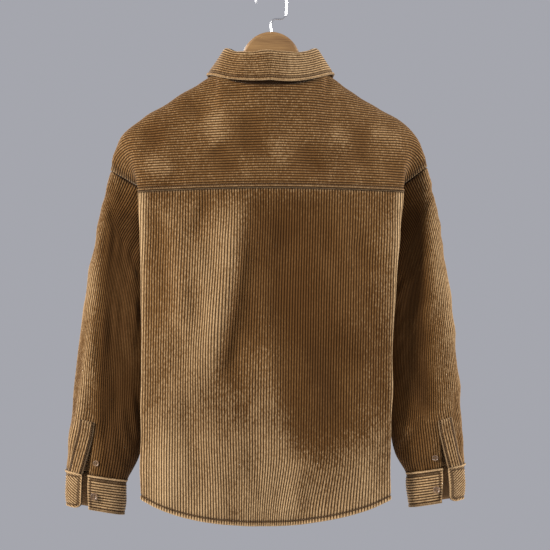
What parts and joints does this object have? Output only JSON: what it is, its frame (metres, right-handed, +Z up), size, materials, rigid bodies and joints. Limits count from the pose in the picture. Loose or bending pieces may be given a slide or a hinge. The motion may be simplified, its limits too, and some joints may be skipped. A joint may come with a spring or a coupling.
{
  "type": "corduroy overshirt on a wooden hanger",
  "caption": "Corduroy overshirt with a yoked back, turned-down collar and buttoned cuffs, closed in front, hanging on a wooden hanger by its wire hook.",
  "frame": {"origin": "inside top of the hanger's hook, where a rail or peg carries it", "axes": "+Z up, -Y out of the garment's back, +Y out of its front, +X to the right as seen from behind"},
  "size_m": [0.6421, 0.1371, 0.8643],
  "materials": {
    "corduroy": "brushed cotton corduroy, raised wales, soft pile",
    "button": "horn-like, satin",
    "wood": "clear satin lacquer",
    "steel": "bright plated wire"
  },
  "bodies": {
    "root": {"back": "corduroy", "yoke": "corduroy", "front_left": "corduroy", "front_right": "corduroy", "sleeve_left": "corduroy", "sleeve_right": "corduroy", "placket_left": "corduroy", "placket_right": "corduroy", "cuff_left": "corduroy", "cuff_right": "corduroy", "collar_stand": "corduroy", "collar_leaf": "corduroy", "button_front_1": "button", "button_front_2": "button", "button_front_3": "button", "button_front_4": "button", "button_front_5": "button", "button_front_6": "button", "button_front_7": "button", "button_stand": "button", "button_placket_left": "button", "button_placket_right": "button", "button_cuff_left": "button", "button_cuff_right": "button", "hanger_wood": "wood", "hanger_hook": "steel"}
  },
  "joints": []
}
